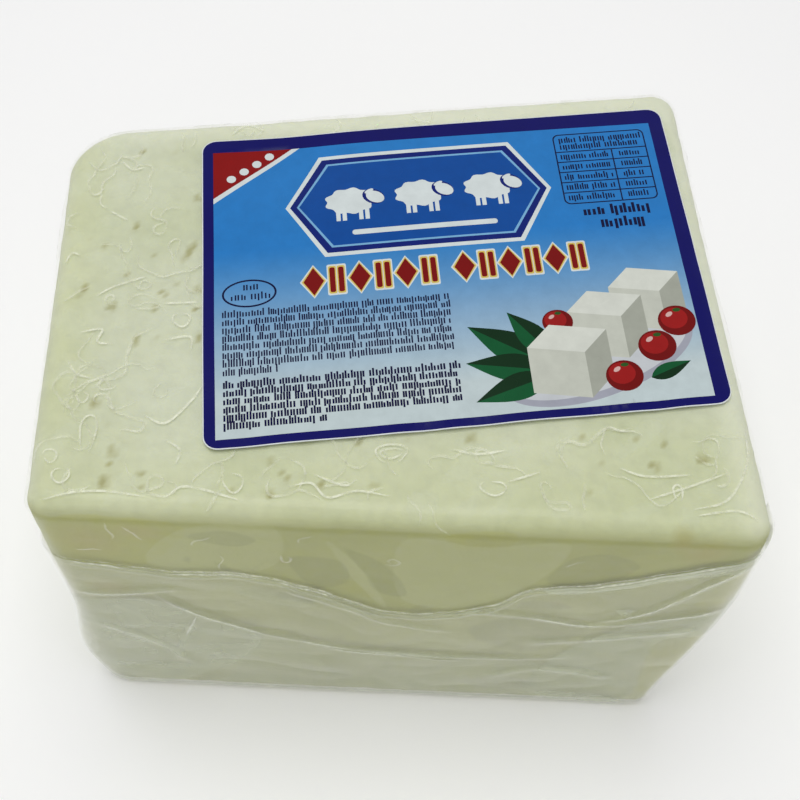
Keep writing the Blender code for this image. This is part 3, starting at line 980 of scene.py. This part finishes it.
# Painted glints along the tail's folds: fold, share of its length where each starts and ends.
FOLD_GLEAMS = (
    ("upper_left", 0.25, 0.75), ("long", 0.10, 0.33), ("long", 0.40, 0.50), ("low_middle", 0.0, 0.65),
    ("middle", 0.30, 0.55), ("middle", 0.70, 0.95), ("rise", 0.15, 0.45), ("rise", 0.50, 0.85),
    ("drop", 0.0, 0.40),
)
# Painted glints along the hem: lowest and highest x in mm.
HEM_GLEAMS = ((-53, -42), (-37, -21), (-19, -9), (32, 56))


# Their pale veil, like that of every crease, is partly painted highlight.
# Where more creases lie at random: side, lowest and highest place in mm, number, most steps,
# how sharply they bend, half width in m, strength.
CURL_PLACES = (
    ("left", (-34, 6), (34, 78), 24, 90, 0.06, 0.00020, 0.55),
    ("right", (-38, 6), (38, 78), 24, 90, 0.06, 0.00020, 0.55),
    ("back", (-50, 6), (50, 78), 32, 90, 0.06, 0.00020, 0.55),
    ("top", (-53, -37), (-33, 38), 40, 80, 0.09, 0.00022, 0.60),
    ("top", (-33, -39), (53, -30), 26, 60, 0.09, 0.00022, 0.60),
    ("top", (-30, 36), (52, 41), 14, 40, 0.10, 0.00016, 0.6),
    ("front_up", (-50, 70), (52, 80), 9, 26, 0.10, 0.00020, 0.16),
)


# Half width and height of each kind of line, in m.
CREASE_FORM = (0.00020, 0.000022)
LOOP_FORM = (0.00017, 0.00002)
HEM_FORM = (0.00032, 0.00012)
GLEAM_FORM = (0.00022, 0.00010)
CURL_FLATNESS = 0.10
CURL_STEP = 0.3
SHORTEST_CURL = 14
# How strongly the lines' pale veil, partly painted highlight, shows.
LINE_STRENGTH = 0.9
HEM_STRENGTH = 0.8
HEM_ABOVE = 0.22
GLEAM_BELOW = 0.4
LONGEST_JUMP = 0.0015


def curl(rng, start, steps, bend):
    """A short line that wanders over one side, in mm."""
    a, b = start
    heading = rng.uniform(-math.pi, math.pi)
    spin = 0.0
    flat = []
    for _ in range(int(steps)):
        flat.append((a, b))
        spin = 0.85 * spin + rng.normal() * bend
        heading += spin
        a += CURL_STEP * math.cos(heading)
        b += CURL_STEP * math.sin(heading)
    return np.array(flat)


def rope(line, normals, half_width, height, sides=6):
    """Closed slim ridge along a line on a surface, thin at both ends."""
    count = len(line)
    along = np.gradient(line, axis=0)
    along /= np.maximum(np.linalg.norm(along, axis=1), 1e-9)[:, None]
    across = np.cross(normals, along)
    length = np.linspace(0.0, 1.0, count)
    taper = 0.25 + 0.75 * smooth(np.minimum(length, 1.0 - length) * 5.0)
    points = []
    for k in range(sides):
        angle = 2 * math.pi * k / sides
        points.append(line + across * (half_width * math.cos(angle) * taper)[:, None]
                      + normals * (height * math.sin(angle) * taper)[:, None])
    points = np.stack(points, axis=1).reshape(-1, 3)
    faces = []
    for i in range(count - 1):
        for k in range(sides):
            a, b = i * sides + k, i * sides + (k + 1) % sides
            faces.append((a, b, b + sides, a + sides))
    faces.append(tuple(range(sides))[::-1])
    faces.append(tuple((count - 1) * sides + k for k in range(sides)))
    return points, faces


def on_surface(tree, flat, side):
    """Places and normals on the film for points given on one side, in mm."""
    line, normals = [], []
    for a, b in flat:
        if side == "top":
            start, way = (a * MM, b * MM, 0.2), (0, 0, -1)
        elif side in ("front", "front_up"):
            start, way = (a * MM, -0.2, b * MM), (0, 1, 0)
        elif side == "back":
            start, way = (a * MM, 0.2, b * MM), (0, -1, 0)
        elif side == "left":
            start, way = (-0.2, a * MM, b * MM), (1, 0, 0)
        else:
            start, way = (0.2, a * MM, b * MM), (-1, 0, 0)
        place, normal, _, _ = tree.ray_cast(start, way)
        if place is None:
            continue
        line.append(place)
        normals.append(normal)
    return np.array(line), np.array(normals)


def make_creases(film_tree, tail_tree):
    rng = np.random.default_rng(77)
    trees = {side: film_tree for side in ("top", "left", "right", "back", "front_up")}
    trees["front"] = tail_tree
    points, faces, strengths, first = [], [], [], 0

    def lay(flat, side, half_width, height, strength=LINE_STRENGTH):
        nonlocal first
        line, normals = on_surface(trees[side], flat, side)
        if len(line) < 4 or np.linalg.norm(np.diff(line, axis=0), axis=1).max() > LONGEST_JUMP:
            return
        p, f = rope(line, normals, half_width, height)
        points.append(p)
        faces.extend([tuple(i + first for i in face) for face in f])
        strengths.extend([strength] * len(p))
        first += len(p)

    for line in TOP_CREASES:
        lay(curve_through(line, CURL_STEP), "top", *CREASE_FORM)
    for x, y, half_x, half_y in TOP_LOOPS:
        start = rng.uniform(0, 2 * math.pi)
        turn = np.linspace(start, start + 2 * math.pi * 0.9, 28)
        wobble = 1.0 + 0.12 * np.sin(2 * turn + start) + 0.08 * np.sin(3 * turn)
        ring = [x + half_x * wobble * np.cos(turn), y + half_y * wobble * np.sin(turn)]
        lay(np.stack(ring, axis=1), "top", *LOOP_FORM)
    across = np.arange(-55.0, 57.5, FOLD_STEP)
    # Pale line along the hem, partly painted highlight.
    lay(np.stack([across, tail_top(across) + HEM_ABOVE], axis=1), "front_up", *HEM_FORM, HEM_STRENGTH)
    for name, start, end in FOLD_GLEAMS:
        line = curve_through(TAIL_FOLDS[name][0], FOLD_STEP)
        lay(line[int(start * len(line)):int(end * len(line)) + 1], "front", *GLEAM_FORM)
    for start, end in HEM_GLEAMS:
        x = np.arange(start, end, FOLD_STEP)
        lay(np.stack([x, tail_top(x) - GLEAM_BELOW], axis=1), "front", *GLEAM_FORM)
    for side, low, high, number, longest, bend, half_width, strength in CURL_PLACES:
        for _ in range(number):
            start = rng.uniform(low, high)
            flat = curl(rng, start, rng.uniform(SHORTEST_CURL, longest), bend)
            share = rng.uniform(0.5, 1.0)
            width = half_width * rng.uniform(0.7, 1.3)
            lay(flat, side, width, half_width * CURL_FLATNESS, strength * share)
    item = new_object("film_creases", np.concatenate(points), faces, smooth_shading=False)
    # How much pale veil each line shows, partly painted highlight.
    point_values(item, "strength", strengths)
    item.data.materials.append(crease_material())
    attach(item, "root")
    return item


# The printed label: spacing of its mesh in mm, and colours as they show on screen.
LABEL_STEP = 1.6
INKS = {
    "edge": ink(222, 226, 228), "navy": ink(24, 31, 96), "red": ink(133, 8, 6), "title": ink(120, 12, 14),
    "white": ink(206, 214, 214), "yellow": ink(206, 182, 96), "plaque": ink(30, 78, 150),
    "plaque_deep": ink(20, 44, 112), "sky": ink(120, 170, 206), "text": ink(24, 30, 62),
    "slab": ink(206, 209, 200), "slab_shade": ink(160, 163, 152), "slab_side": ink(190, 193, 182),
    "tomato": ink(112, 20, 26), "tomato_light": ink(150, 40, 40), "glint": ink(205, 170, 165),
    "leaf": ink(34, 86, 54), "leaf_dark": ink(22, 54, 38), "plate": ink(192, 196, 200),
    "plate_shade": ink(158, 160, 172), "stem": ink(52, 88, 46),
}
# The clear field runs from a pale foot to blue: label heights in mm, and colours on screen.
FIELD_HEIGHTS = (8, 22, 38)
FIELD_COLOURS = ((187, 200, 202), (130, 164, 194), (50, 121, 189))


def field_ink(v):
    """Colour of the clear field at one height."""
    return ink(*(float(np.interp(v, FIELD_HEIGHTS, part)) for part in zip(*FIELD_COLOURS)))


def rectangle(u0, v0, u1, v1):
    return [(u0, v0), (u1, v0), (u1, v1), (u0, v1)]


def rounded_rectangle(u0, v0, u1, v1, radius, steps=6):
    corners = ((u1 - radius, v0 + radius, -90), (u1 - radius, v1 - radius, 0),
               (u0 + radius, v1 - radius, 90), (u0 + radius, v0 + radius, 180))
    found = []
    for u, v, start in corners:
        for k in range(steps + 1):
            angle = math.radians(start + 90 * k / steps)
            found.append((u + radius * math.cos(angle), v + radius * math.sin(angle)))
    return found


def oval(u, v, half_u, half_v, steps=36, turn=0.0, bumps=0, swell=0.0):
    found = []
    for k in range(steps):
        angle = 2 * math.pi * k / steps
        reach = 1.0 + swell * math.cos(bumps * angle)
        a, b = half_u * reach * math.cos(angle), half_v * reach * math.sin(angle)
        across = a * math.cos(turn) - b * math.sin(turn)
        found.append((u + across, v + a * math.sin(turn) + b * math.cos(turn)))
    return found


class Print:
    """Flat shapes in label millimetres, later ones over earlier ones."""

    def __init__(self):
        self.shapes = []

    def put(self, ink, outline):
        self.shapes.append((ink, outline))

    def marks(self, u0, u1, v, height, pitch, weight, seed):
        """A line of short rows of upright ticks, which stand in for words."""
        rng = np.random.default_rng(seed)
        u = u0
        while u < u1 - weight:
            for _ in range(int(rng.integers(4, 19))):
                if u > u1 - weight:
                    break
                low, high = v, v + height
                tall = rng.random()
                if tall < 0.20:
                    high += height * 0.30
                elif tall < 0.30:
                    low -= height * 0.28
                elif tall < 0.55:
                    high -= height * 0.22
                self.put("text", rectangle(u, low, u + weight, high))
                u += pitch * rng.uniform(0.8, 1.2)
            u += pitch * 1.1


def draw_label():
    """All shapes of the generic print."""
    p = Print()
    wide, high = LABEL_SIZE
    p.put("navy", rounded_rectangle(0.17, 0.17, wide - 0.17, high - 0.17, LABEL_CORNER - 0.15))
    p.put("field", [(2.0, 1.7), (82.1, 1.6), (82.3, 60.8), (2.0, 61.4)])
    # Red band across the upper left corner.
    p.put("white", [(2.0, 49.4), (17.6, 61.3), (2.0, 61.4)])
    p.put("red", [(2.0, 50.6), (16.2, 61.31), (2.0, 61.4)])
    for k in range(4):
        t = 0.2 + 0.2 * k
        u, v = 2.6 + 11.5 * t, 51.9 + 8.2 * t
        p.put("white", oval(u + 0.3, v + 1.4, 0.85, 0.85, 12))
    # Banner with three grazing sheep.
    p.put("white", hexagon(14.6, 35.6, 62.0, 58.6, 6.4))
    p.put("plaque_deep", hexagon(15.4, 36.4, 61.2, 57.8, 6.1))
    p.put("sky", hexagon(16.6, 37.5, 60.0, 56.7, 5.7))
    p.put("plaque", hexagon(17.0, 37.9, 59.6, 56.3, 5.6))
    for k in range(3):
        sheep(p, 26.0 + 12.4 * k, 47.6 + 0.5 * k, 1.0)
    p.put("white", rounded_rectangle(26.0, 39.9, 51.5, 41.0, 0.5))
    # Red ornament in two groups.
    for start in (18.8, 44.6):
        for k in range(6):
            u = start + 3.95 * k
            ornament(p, u, 30.2 + 0.02 * u, k)
    # Stamp.
    p.put("text", oval(7.9, 29.3, 4.6, 2.9))
    p.put("field", oval(7.9, 29.3, 4.25, 2.55))
    p.marks(6.9, 9.4, 30.0, 1.15, 0.56, 0.27, 41)
    p.marks(4.8, 11.6, 28.0, 1.15, 0.56, 0.27, 42)
    # Small print: rows, right end, end of the last row, top, row pitch, tick pitch and weight, seed.
    for rows, right, last, top, row_pitch, pitch, weight, seed in (
            (8, 41.4, 12.5, 24.6, 1.62, 0.44, 0.26, 100), (6, 41.8, 20.0, 10.9, 1.5, 0.48, 0.33, 200)):
        for k in range(rows):
            end = right if k < rows - 1 else last
            p.marks(3.3, end, top - row_pitch * k, 1.14, pitch, weight, seed + k)
    # Table.
    p.put("text", rounded_rectangle(63.9, 42.9, 80.9, 59.5, 1.2))
    p.put("field", rounded_rectangle(64.15, 43.15, 80.65, 59.25, 1.0))
    rows = np.linspace(43.15, 55.2, 6)
    for v in rows[1:]:
        p.put("text", rectangle(64.15, v - 0.12, 80.65, v + 0.12))
    p.put("text", rectangle(74.2, 43.15, 74.45, 55.2))
    p.marks(65.0, 80.2, 57.4, 1.1, 0.48, 0.28, 301)
    p.marks(65.0, 79.6, 55.8, 1.1, 0.48, 0.28, 302)
    for k in range(5):
        p.marks(64.8, 73.8, rows[k] + 0.65, 1.1, 0.47, 0.27, 310 + k)
        p.marks(75.6, 79.6, rows[k] + 0.65, 1.1, 0.47, 0.27, 320 + k)
    p.marks(66.9, 79.9, 40.2, 1.70, 0.80, 0.54, 331)
    p.marks(69.6, 77.4, 37.3, 1.70, 0.80, 0.54, 332)
    picture(p)
    return p.shapes


def hexagon(u0, v0, u1, v1, cut):
    """Banner shape with pointed ends."""
    v = (v0 + v1) / 2
    return [(u0, v), (u0 + cut, v0), (u1 - cut, v0), (u1, v), (u1 - cut, v1), (u0 + cut, v1)]


def sheep(p, u, v, size):
    """Small sheep seen from the side."""
    for leg in (-2.6, -1.5, 1.4, 2.5):
        p.put("white", rectangle(u + leg * size, v - 4.4 * size, u + (leg + 0.75) * size, v - 1.5 * size))
    p.put("white", oval(u, v, 4.3 * size, 2.9 * size, 54, 0.0, 9, 0.07))
    p.put("plaque_deep", oval(u + 4.2 * size, v + 0.6 * size, 2.1 * size, 1.6 * size, 20, -0.6))
    p.put("white", oval(u + 4.5 * size, v + 0.5 * size, 1.75 * size, 1.25 * size, 20, -0.6))
    p.put("white", oval(u + 3.5 * size, v + 1.9 * size, 0.9 * size, 0.4 * size, 12, 0.5))


def ornament(p, u, v, k):
    """One motif of the red woven border."""
    for ink, grow in (("white", 0.62), ("yellow", 0.30), ("title", 0.0)):
        if k % 2 == 0:
            p.put(ink, [(u - 1.75 - grow, v), (u, v - 2.9 - grow), (u + 1.75 + grow, v), (u, v + 2.9 + grow)])
            continue
        for left in (-1.22, 0.28):
            p.put(ink, rounded_rectangle(u + left - grow * 0.7, v - 2.6 - grow, u + left + 0.94 + grow * 0.7,
                                         v + 2.6 + grow, 0.3, 2))


def cube(p, u, v, size):
    """A cube of cheese, drawn from above."""
    a, b, c = size, size * 0.52, size * 0.92
    p.put("slab", [(u, v), (u + a, v - b * 0.35), (u + a * 1.45, v + b * 0.5), (u + a * 0.45, v + b * 0.85)])
    p.put("slab_side", [(u, v), (u, v - c), (u + a, v - c - b * 0.35), (u + a, v - b * 0.35)])
    p.put("slab_shade", [(u + a, v - b * 0.35), (u + a, v - c - b * 0.35), (u + a * 1.45, v - c + b * 0.5),
                         (u + a * 1.45, v + b * 0.5)])


def tomato(p, u, v, r):
    p.put("tomato", oval(u, v, r, r * 0.94, 30))
    p.put("tomato_light", oval(u - r * 0.12, v + r * 0.16, r * 0.72, r * 0.66, 24))
    p.put("glint", oval(u - r * 0.34, v + r * 0.42, r * 0.22, r * 0.13, 12, 0.6))
    p.put("stem", oval(u + r * 0.1, v + r * 0.66, r * 0.22, r * 0.12, 10))


def leaf(p, u, v, length, width, turn):
    """Leaf with a light and a dark half."""
    upper, lower = [], []
    for k in range(13):
        t = k / 12
        half = width * math.sin(math.pi * t ** 0.8) * (1.0 - 0.25 * t)
        upper.append((length * t, half))
        lower.append((length * t, -half))
    c, s = math.cos(turn), math.sin(turn)

    def placed(points):
        return [(u + a * c - b * s, v + a * s + b * c) for a, b in points]

    spine = [(length * k / 12, 0.0) for k in range(13)]
    p.put("leaf_dark", placed(lower + upper[::-1][1:-1]))
    p.put("leaf", placed(spine + upper[::-1][1:-1]))


def picture(p):
    """Cheese cubes, tomatoes and leaves on a plate."""
    p.put("plate_shade", oval(64.5, 10.8, 17.2, 7.4, 60, 0.30))
    p.put("plate", oval(64.2, 11.5, 16.6, 6.8, 60, 0.30))
    leaf(p, 56.5, 10.0, 15.5, 3.4, 2.55)
    leaf(p, 56.0, 9.0, 13.6, 3.0, 2.95)
    leaf(p, 56.0, 8.0, 13.0, 2.8, -2.85)
    leaf(p, 57.0, 12.0, 11.0, 2.6, 2.2)
    cube(p, 68.4, 24.4, 8.6)
    tomato(p, 78.8, 16.6, 3.2)
    cube(p, 60.6, 20.0, 9.0)
    tomato(p, 74.6, 12.0, 3.2)
    tomato(p, 58.8, 18.2, 2.6)
    cube(p, 53.0, 13.6, 9.4)
    tomato(p, 68.2, 6.8, 3.1)
    leaf(p, 72.5, 6.0, 7.5, 1.6, 0.35)


def finer(outline):
    """The same outline with no stretch longer than the drape needs."""
    found = []
    for here, there in zip(outline, outline[1:] + outline[:1]):
        count = max(1, math.ceil(math.dist(here, there) / LABEL_STEP))
        for k in range(count):
            found.append(tuple(mix(a, b, k / count) for a, b in zip(here, there)))
    return found


def fill(shapes, outline, spacing):
    """Triangles of the label's plan, and the topmost shape on each."""
    coords, faces = [], []
    for shape in [outline] + [s[1] for s in shapes]:
        first = len(coords)
        coords += [Vector(q) for q in finer(shape)]
        faces.append(list(range(first, len(coords))))
    wide, high = LABEL_SIZE
    for u in np.arange(spacing, wide - spacing / 2, spacing):
        for v in np.arange(spacing, high - spacing / 2, spacing):
            coords.append(Vector((float(u) + 0.013, float(v) + 0.017)))
    points, _, triangles, _, _, ids = delaunay_2d_cdt(coords, [], faces, 1, 1e-4, True)
    top = [max(found) for found in ids]
    return np.array([tuple(q) for q in points]), [tuple(t) for t in triangles], top


def label_plan(uv):
    """Label millimetres to the block's plan."""
    x = (uv[:, 0] - LABEL_SIZE[0] / 2) * MM
    y = (uv[:, 1] - LABEL_SIZE[1] / 2) * MM
    plan_x = LABEL_PLACE[0] + x * math.cos(LABEL_TURN_LONG) - y * math.sin(LABEL_TURN_SHORT)
    plan_y = LABEL_PLACE[1] + x * math.sin(LABEL_TURN_LONG) + y * math.cos(LABEL_TURN_SHORT)
    return plan_x, plan_y


def draped(tree, uv, lift):
    x, y = label_plan(uv)
    z = [tree.ray_cast((a, b, 0.2), (0, 0, -1))[0].z for a, b in zip(x, y)]
    u, v = uv.T
    rumple = 0.00009 * np.sin(0.50 * u + 1.4 * np.sin(0.17 * u)) * np.exp(-v / 5.0)
    rumple = rumple + 0.00005 * np.sin(0.38 * v + 0.9 * np.sin(0.21 * v)) * np.exp((u - LABEL_SIZE[0]) / 5.0)
    return np.stack([x, y, np.array(z) + lift + rumple], axis=1)


def make_label(tree):
    wide, high = LABEL_SIZE
    outline = rounded_rectangle(0.0, 0.0, wide, high, LABEL_CORNER, 8)
    edge = finer(outline)
    shapes = draw_label()
    uv, triangles, topmost = fill(shapes, edge, LABEL_STEP)
    low_uv, low_triangles, _ = fill([], edge, 2 * LABEL_STEP)
    upper = draped(tree, uv, LABEL_UNDER + LABEL_THICKNESS)
    under = draped(tree, low_uv, LABEL_UNDER)
    shift = len(upper)
    faces = list(triangles) + [tuple(i + shift for i in reversed(t)) for t in low_triangles]

    def rim_of(points):
        table = {(round(a, 3), round(b, 3)): i for i, (a, b) in enumerate(points)}
        return [table[(round(a, 3), round(b, 3))] for a, b in edge]

    rim_up, rim_low = rim_of(uv), rim_of(low_uv)
    for k in range(len(edge)):
        n = (k + 1) % len(edge)
        faces.append((rim_low[k] + shift, rim_low[n] + shift, rim_up[n], rim_up[k]))
    item = new_object("label_paper", np.concatenate([upper, under]), faces)
    layer = item.data.color_attributes.new("ink", "FLOAT_COLOR", "CORNER")
    colours = []
    for polygon in item.data.polygons:
        number = polygon.index
        name = shapes[topmost[number] - 1][0] if number < len(triangles) and topmost[number] > 0 else "edge"
        for corner in polygon.vertices:
            colours += [*(field_ink(uv[corner][1]) if name == "field" else INKS[name]), 1.0]
    layer.data.foreach_set("color", colours)
    item.data.materials.append(print_material())
    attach(item, "root")
    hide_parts("label")
    return item


# The studio: light of the sky by height, lamps and floor.
SKY_STOPS = ((0.0, 0.68), (0.34, 0.64), (0.64, 0.44), (0.80, 0.30), (0.92, 0.30), (1.0, 0.60))
LAMP_SIZE = 0.40
LAMP_PLACE = (-0.04, 0.0, 0.75)
LAMP_AIM = (0.0, 0.0, 0.05)
KEY_POWER = 0.75
SOFT_KEY_POWER = 1.85
FLOOR_GLOW = 0.13
FLOOR_REACH = 4


def lamp(name, power, mirrored):
    """Square lamp over the block; only a mirrored one shows in the gloss."""
    data = bpy.data.lights.new(name, "AREA")
    data.shape = "RECTANGLE"
    data.size = data.size_y = LAMP_SIZE
    data.energy = power
    light = bpy.data.objects.new(name, data)
    light.location = LAMP_PLACE
    light.visible_glossy = mirrored
    light.rotation_mode = "QUATERNION"
    light.rotation_quaternion = (Vector(LAMP_AIM) - Vector(LAMP_PLACE)).to_track_quat("-Z", "Y")
    bpy.context.scene.collection.objects.link(light)


def make_studio():
    world = bpy.data.worlds.new("studio")
    bpy.context.scene.world = world
    world.use_nodes = True
    nodes, links = world.node_tree.nodes, world.node_tree.links
    background = nodes["Background"]
    split = nodes.new("ShaderNodeSeparateXYZ")
    links.new(nodes.new("ShaderNodeTexCoord").outputs["Generated"], split.inputs[0])
    ramp = nodes.new("ShaderNodeValToRGB")
    links.new(split.outputs["Z"], ramp.inputs[0])
    while len(ramp.color_ramp.elements) < len(SKY_STOPS):
        ramp.color_ramp.elements.new(0.5)
    for element, (place, light) in zip(ramp.color_ramp.elements, SKY_STOPS):
        element.position = place
        element.color = (light, light, light, 1.0)
    links.new(ramp.outputs[0], background.inputs["Color"])

    lamp("key", KEY_POWER, True)
    lamp("key_soft", SOFT_KEY_POWER, False)
    s = Shader("floor_paper")
    tone = s.ramp(s.noise(8.0, 2.0, 0.5), [(0.3, 0.93), (0.7, 0.95)])
    rough = s.ramp(s.noise(60.0, 3.0, 0.5), [(0.3, 0.75), (0.7, 0.85)])
    floor_shader = s.add("ShaderNodeBsdfPrincipled", {
        "Base Color": tone, "Roughness": rough, "Specular IOR Level": 0.2,
        "Emission Color": (1.0, 1.0, 1.0, 1.0), "Emission Strength": FLOOR_GLOW})
    r = FLOOR_REACH
    floor = new_object("floor", [(-r, -r, 0), (r, -r, 0), (r, r, 0), (-r, r, 0)], [(0, 1, 2, 3)], False)
    floor.data.materials.append(s.finish(floor_shader.outputs[0]))
    bpy.context.scene.view_settings.view_transform = "Standard"
    bpy.context.scene.view_settings.look = "None"


make_studio()
curd = make_curd()
film = make_film()
tail = make_tail()
creases = make_creases(tree_of(film), tree_of(tail))
label = make_label(top_tree())
